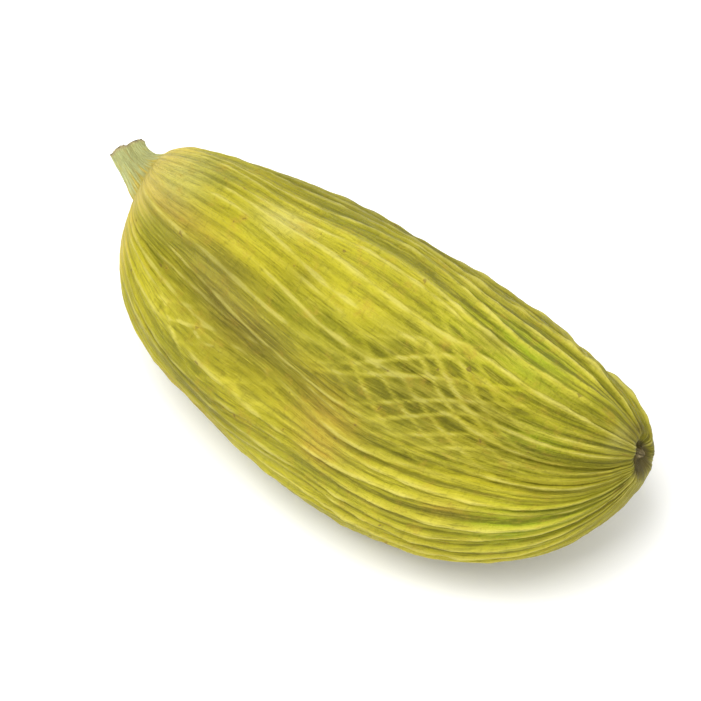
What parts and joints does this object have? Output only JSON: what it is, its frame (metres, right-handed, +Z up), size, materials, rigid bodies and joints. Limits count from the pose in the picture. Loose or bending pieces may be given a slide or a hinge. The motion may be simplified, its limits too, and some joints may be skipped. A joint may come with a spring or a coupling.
{
  "type": "green cardamom pod",
  "caption": "Dried green cardamom pod: a bluntly three-sided ribbed husk with a short curled stalk stub and a blunt scarred tip, lying on its side.",
  "frame": {"origin": "the middle of the bounding box's bottom face, on the surface that the pod lies on", "axes": "+X along the husk from the stalk stub to the blunt tip, +Z up"},
  "size_m": [0.0212, 0.0096, 0.0087],
  "materials": {
    "husk": "dry, satin, finely ribbed husk"
  },
  "bodies": {
    "root": {"cardamom_pod": "husk"}
  },
  "joints": []
}
